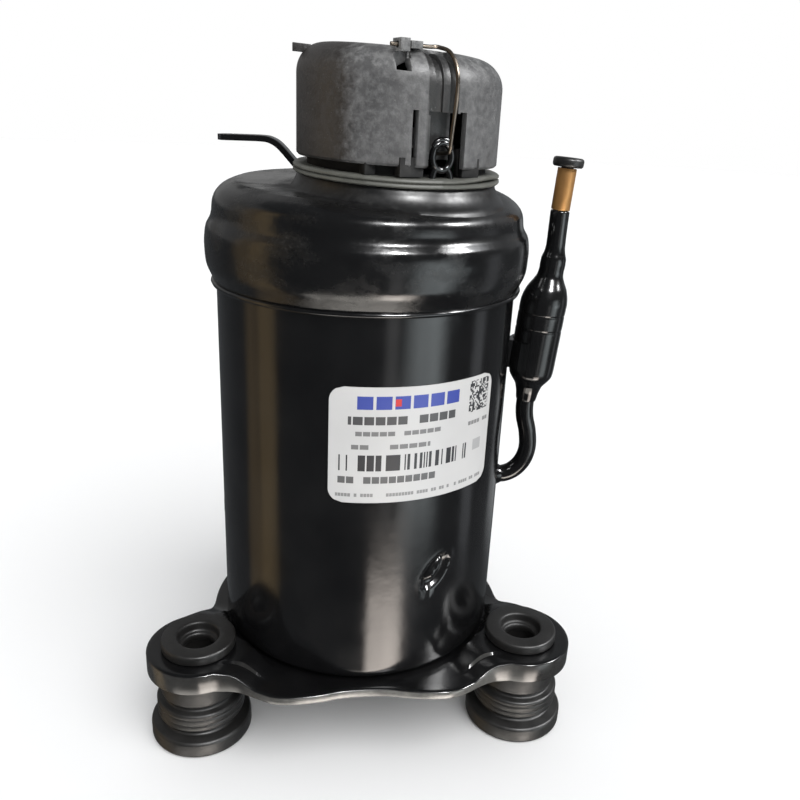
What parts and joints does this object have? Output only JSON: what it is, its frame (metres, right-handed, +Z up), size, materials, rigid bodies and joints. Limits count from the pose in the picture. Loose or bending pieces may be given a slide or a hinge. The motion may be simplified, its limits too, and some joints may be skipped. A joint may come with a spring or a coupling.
{
  "type": "hermetic rotary compressor",
  "caption": "Slim upright hermetic rotary compressor: black enamelled steel can on a three-foot plate, terminal cover on top, suction line with muffler at the side.",
  "frame": {"origin": "on the axis of the shell and crankshaft, at the underside of the pressed pad in the middle of the base plate", "axes": "+Z up along the crankshaft, -Y to the front between the two front feet, +X to the right where the suction line is"},
  "size_m": [0.1506, 0.1418, 0.2309],
  "materials": {
    "enamel": "glossy baked black enamel",
    "foot_rubber": "matte black rubber",
    "cover_plastic": "matte charcoal moulded plastic, dusty",
    "gasket": "grey-olive sheet rubber",
    "spring_wire": "bare spring wire, lightly stained",
    "copper_tube": "bare copper tube",
    "label_film": "satin off-white label",
    "terminal_steel": "plated steel",
    "bead_glass": "fused sealing glass",
    "protector_plastic": "black phenolic",
    "earth_green": "green passivated screw",
    "lead_sleeve": "woven sleeving",
    "lamination": "stacked electrical steel",
    "copper_winding": "enamelled copper wire",
    "cast_aluminium": "die-cast aluminium",
    "weight_steel": "steel plate",
    "shaft_steel": "ground steel",
    "pump_iron": "machined cast iron"
  },
  "bodies": {
    "housing": {"shell_body": "enamel", "top_cap": "enamel", "base_plate": "enamel", "seam_weld": "enamel", "plug_weld_1": "enamel", "plug_weld_2": "enamel", "plug_weld_3": "enamel", "bail_eye": "enamel", "wiring_bracket": "enamel", "suction_elbow": "enamel", "suction_muffler": "enamel", "muffler_clip": "enamel", "grommet_left": "foot_rubber", "grommet_right": "foot_rubber", "grommet_back": "foot_rubber", "terminal_cover": "cover_plastic", "cover_gasket": "gasket", "suction_stub": "copper_tube", "discharge_tube": "copper_tube", "rating_label": "label_film", "terminal_body": "terminal_steel", "terminal_pin_1": "terminal_steel", "terminal_pin_2": "terminal_steel", "terminal_pin_3": "terminal_steel", "protector_clip": "terminal_steel", "glass_bead_1": "bead_glass", "glass_bead_2": "bead_glass", "glass_bead_3": "bead_glass", "overload_protector": "protector_plastic", "earth_screw": "earth_green", "motor_lead_1": "lead_sleeve", "motor_lead_2": "lead_sleeve", "motor_lead_3": "lead_sleeve", "stator_core": "lamination", "stator_winding": "copper_winding", "vane_spring": "shaft_steel", "valve_stop": "shaft_steel", "valve_rivet": "shaft_steel", "discharge_muffler": "shaft_steel", "pump_screw_1": "shaft_steel", "pump_screw_2": "shaft_steel", "pump_screw_3": "shaft_steel", "pump_screw_4": "shaft_steel", "cylinder": "pump_iron", "main_bearing": "pump_iron", "sub_bearing": "pump_iron"},
    "crank": {"crankshaft": "shaft_steel", "oil_paddle": "shaft_steel", "rotor_core": "lamination", "rotor_end_ring_upper": "cast_aluminium", "rotor_end_ring_lower": "cast_aluminium", "balance_weight_upper": "weight_steel", "balance_weight_lower": "weight_steel"},
    "roller": {"rolling_piston": "shaft_steel"},
    "sliding_vane": {"vane": "shaft_steel"},
    "reed": {"discharge_valve_reed": "shaft_steel"},
    "bail": {"cover_bail_wire": "spring_wire"},
    "suction_cap": {"suction_plug": "foot_rubber"},
    "discharge_cap": {"discharge_plug": "foot_rubber"}
  },
  "joints": [
    {"name": "crank_spin", "type": "hinge", "parent": "housing", "child": "crank", "pos_m": [0, 0, 0.0585], "axis": [0, 0, 1], "continuous": true},
    {"name": "roller_spin", "type": "hinge", "parent": "crank", "child": "roller", "pos_m": [0.00113, -0.0031, 0.0585], "axis": [0, 0, 1], "continuous": true},
    {"name": "vane_slide", "type": "slide", "parent": "housing", "child": "sliding_vane", "axis": [-0.9397, -0.342, 0], "range_m": [0, 0.0033]},
    {"name": "reed_lift", "type": "hinge", "parent": "housing", "child": "reed", "pos_m": [-0.00179, 0.02042, 0.0772], "axis": [-0.4976, -0.8674, 0], "range_deg": [0, 3]},
    {"name": "bail_swing", "type": "hinge", "parent": "housing", "child": "bail", "pos_m": [0.01654, -0.03491, 0.2023], "axis": [-0.9336, -0.3584, 0], "range_deg": [0, 110]},
    {"name": "suction_plug_pull", "type": "slide", "parent": "housing", "child": "suction_cap", "axis": [0.0713, -0.0053, 0.9974], "range_m": [0, 0.02]},
    {"name": "discharge_plug_pull", "type": "slide", "parent": "housing", "child": "discharge_cap", "axis": [0, 0, 1], "range_m": [0, 0.02]}
  ]
}
